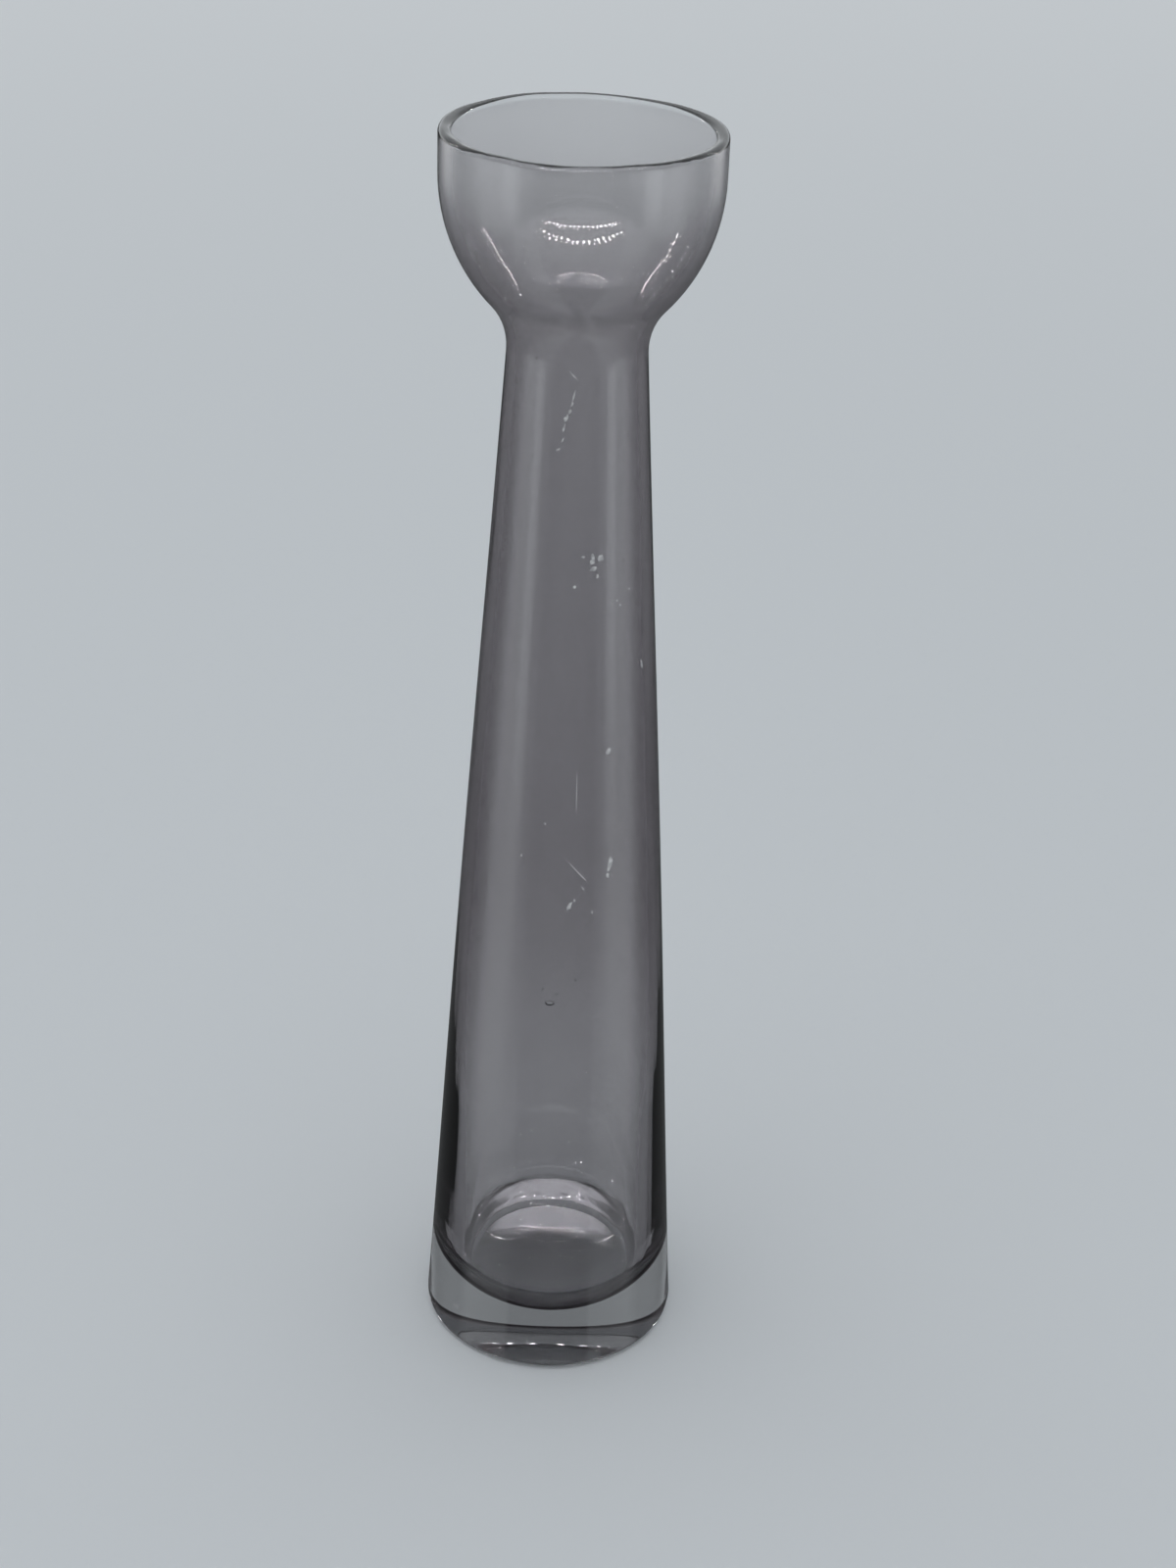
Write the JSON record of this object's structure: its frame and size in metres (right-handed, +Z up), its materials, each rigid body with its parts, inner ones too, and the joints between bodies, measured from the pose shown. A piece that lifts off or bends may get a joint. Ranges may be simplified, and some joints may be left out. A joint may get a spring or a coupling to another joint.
{
  "type": "hyacinth vase",
  "caption": "Tall tapering vase of cased glass with a clear heavy foot, a narrow neck and a rounded cup that seats a flower bulb above water.",
  "frame": {"origin": "middle of the flat underside", "axes": "+Z up along the axis that the vase is turned about, from the foot to the cup"},
  "size_m": [0.074, 0.074, 0.36],
  "materials": {
    "clear_glass": "smooth, fire-polished",
    "smoke_glass": "smooth, smoke tint"
  },
  "bodies": {
    "root": {"clear_casing": "clear_glass", "smoke_lining": "smoke_glass"}
  },
  "joints": []
}
